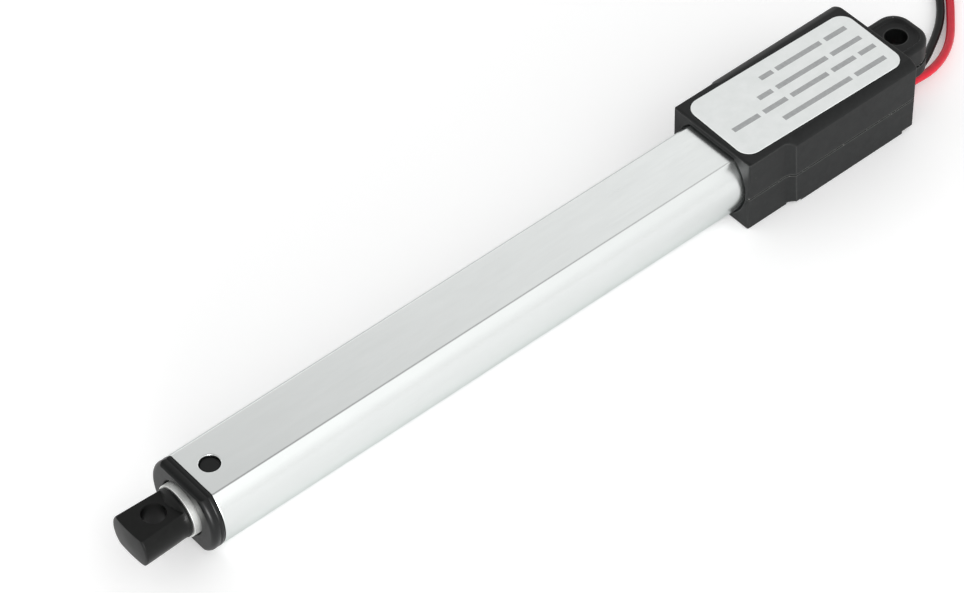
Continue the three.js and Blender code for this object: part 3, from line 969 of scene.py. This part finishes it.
def rod_end_piece():
    body = rod_end_block()
    combine(body, "UNION", rod_end_collar())
    combine(body, "DIFFERENCE", cylinder_z("pin", PIN_RADIUS, FRONT_PIN_X, 0, -0.01, 0.03, 64))
    smooth(body, 32)
    finish_piece(body, END_PLASTIC, "rod", "gloss_black", "rod_end")


tube_shell()
cap_piece()
rod_piece()
rod_end_piece()


# ---- Label ----------------------------------------------------------------------------------

LABEL_HALF_LENGTH = 17.4 * mm
LABEL_HALF_WIDTH = 7.7 * mm
LABEL_CORNER = 2.5 * mm
LABEL_THICKNESS = 0.12 * mm
LABEL_TURN = math.radians(-1.4)  # the film is stuck on a little askew
LABEL_CENTRE = Vector((
    (label_low.x + label_high.x) / 2, (label_low.y + label_high.y) / 2 + 0.15 * mm, 0
))
# Each row's distance from the label's middle line and its bars' ends, in millimetres.
BAR_HALF = 0.5
LABEL_ROWS = [
    (-4.6, [(-15.2, -10.6), (-9.6, 0.2), (1.0, 3.7)]),
    (-1.3, [(-15.5, -9.0), (-8.0, 3.0), (4.0, 7.0)]),
    (1.6, [(-16.0, -12.6), (-11.6, -6.6), (-5.6, 2.4), (3.4, 8.4), (9.4, 15.0)]),
    (4.8, [(-15.4, -8.8), (-7.8, 6.9)]),
]


def label_outline():
    """Rounded rectangle about the label's middle."""
    return [
        (
            sx * (LABEL_HALF_LENGTH - LABEL_CORNER) + LABEL_CORNER * math.cos(angle),
            sy * (LABEL_HALF_WIDTH - LABEL_CORNER) + LABEL_CORNER * math.sin(angle),
        )
        for sx, sy, start in ((1, 1, 0), (-1, 1, 90), (-1, -1, 180), (1, -1, 270))
        for angle in arc_angles(start, 12)
    ]


def label_film():
    top = label_high.z
    turn = Matrix.Rotation(LABEL_TURN, 4, "Z")
    rings = []
    for z, inset in ((top - LABEL_THICKNESS, 0), (top - 0.03 * mm, 0), (top, 0.04 * mm)):
        scale = 1 - inset / LABEL_HALF_WIDTH
        rings.append([
            LABEL_CENTRE + turn @ Vector((x * scale, y * scale, z)) for x, y in label_outline()
        ])
    film = loft("label_film", rings)
    smooth(film, 30)
    finish_piece(film, printed_film(), "base", "label", "rating_label")


def printed_film():
    """Pale satin film with rows of plain grey bars where a rating plate has its print."""
    n = Nodes("printed_film")
    mapping = n.add("ShaderNodeMapping", vector_type="TEXTURE")
    mapping.inputs["Location"].default_value = LABEL_CENTRE
    mapping.inputs["Rotation"].default_value = (0, 0, LABEL_TURN)
    mapping.inputs["Scale"].default_value = (mm, mm, mm)
    n.link(n.place, mapping.inputs["Vector"])
    split = n.add("ShaderNodeSeparateXYZ")
    n.link(mapping.outputs["Vector"], split.inputs[0])
    x, y = split.outputs["X"], split.outputs["Y"]
    ink = None
    for row_y, bars in LABEL_ROWS:
        row = n.math("LESS_THAN", n.math("ABSOLUTE", n.math("SUBTRACT", y, row_y), 0), BAR_HALF)
        for start, end in bars:
            middle, half = (start + end) / 2, (end - start) / 2
            along = n.math("ABSOLUTE", n.math("SUBTRACT", x, middle), 0)
            bar = n.math("MULTIPLY", row, n.math("LESS_THAN", along, half))
            ink = bar if ink is None else n.math("MAXIMUM", ink, bar)
    paper = n.ramp(n.noise(500, 3), (0.3, (0.75, 0.775, 0.765)), (0.8, (0.81, 0.83, 0.825)))
    faded = n.math("MULTIPLY", ink, n.spread(n.noise(1800, 3), 0.62, 0.9))
    n.colour(n.mix(faded, paper, (0.22, 0.225, 0.23)))
    n.roughness(n.spread(n.noise(700, 4), 0.34, 0.46))
    n.bump(n.noise(420, 2), 0.02 * mm, 0.5)
    return n.material


label_film()


# ---- Inside ---------------------------------------------------------------------------------

INSIDE = {
    STEEL: ["lead_screw", "thrust_washer", "output_shaft", "idler_pin", "motor_shaft",
            "gearbox_pillar_1", "gearbox_pillar_2", "gearbox_pillar_3",
            "housing_screw_1", "housing_screw_2", "housing_screw_3", "housing_screw_4"],
    CAN_STEEL: ["motor_can"],
    BRASS: ["shaft_coupler", "output_gear", "idler_gear", "motor_pinion", "gearbox_plate_rear",
            "gearbox_plate_front", "motor_terminal_1", "motor_terminal_2"],
    BRONZE: ["screw_bush"],
    ACETAL: ["drive_nut"],
    RUBBER: ["wiper_ring"],
    LAMINATE: ["switch_board"],
    SWITCH_PLASTIC: ["limit_switch_rear", "limit_switch_front", "blocking_diode_1",
                     "blocking_diode_2", "motor_end_cap"],
}

for material, names in INSIDE.items():
    for name in names:
        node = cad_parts[name]
        node.data.materials.clear()
        node.data.materials.append(material)


# ---- Studio ---------------------------------------------------------------------------------

def area_light(name, place, size, power):
    """Rectangular light that looks at the origin."""
    light = bpy.data.lights.new(name, "AREA")
    light.shape = "RECTANGLE"
    light.size, light.size_y = size
    light.energy = power
    obj = bpy.data.objects.new(name, light)
    obj.location = place
    obj.rotation_euler = (-Vector(place)).to_track_quat("-Z", "Y").to_euler()
    bpy.context.scene.collection.objects.link(obj)


def studio():
    """White floor, one low softbox in front and a bright room."""
    floor = mesh_object(
        "floor", [(-4, -4, 0), (4, -4, 0), (4, 4, 0), (-4, 4, 0)], [(0, 1, 2, 3)]
    )
    n = Nodes("floor_white")
    n.colour(n.ramp(n.noise(3, 2), (0.2, 0.94), (0.8, 0.96)))
    n.set(Roughness=0.9, Specular_IOR_Level=0.1, Emission_Strength=0.2)
    n.shader.inputs["Emission Color"].default_value = (1, 1, 1, 1)
    floor.data.materials.append(n.material)
    area_light("front_softbox", (0.62, 0.74, 0.1), (0.4, 0.2), 9)
    bpy.context.scene.world = bright_room()
    bpy.context.scene.view_settings.view_transform = "Standard"


def bright_room():
    """White all round, dark overhead, with a soft glow low on the near side."""
    world = bpy.data.worlds.new("studio")
    world.use_nodes = True
    tree = world.node_tree
    place = tree.nodes.new("ShaderNodeTexCoord").outputs["Generated"]

    def spot(direction, *stops):
        """Brightness by how squarely a ray points this way: 0 at right angles, 1 straight at it."""
        towards = tree.nodes.new("ShaderNodeVectorMath")
        towards.operation = "DOT_PRODUCT"
        towards.inputs[1].default_value = direction
        tree.links.new(place, towards.inputs[0])
        ramp = tree.nodes.new("ShaderNodeValToRGB")
        set_stops(ramp, stops)
        tree.links.new(towards.outputs["Value"], ramp.inputs["Fac"])
        return ramp.outputs["Color"]

    overhead = spot(
        (0.1, -0.1, 0.99),
        (0.0, 0.86), (0.4, 0.86), (0.69, 1.1), (0.78, 0.6), (0.86, 0.32), (1.0, 0.2),
    )
    glow = spot((-0.06, 0.88, 0.47), (0.88, 0.0), (0.955, 0.28), (1.0, 0.45))
    both = tree.nodes.new("ShaderNodeVectorMath")
    both.operation = "ADD"
    tree.links.new(overhead, both.inputs[0])
    tree.links.new(glow, both.inputs[1])
    tree.links.new(both.outputs[0], tree.nodes["Background"].inputs["Color"])
    tree.nodes["Background"].inputs["Strength"].default_value = 1.2
    return world


studio()
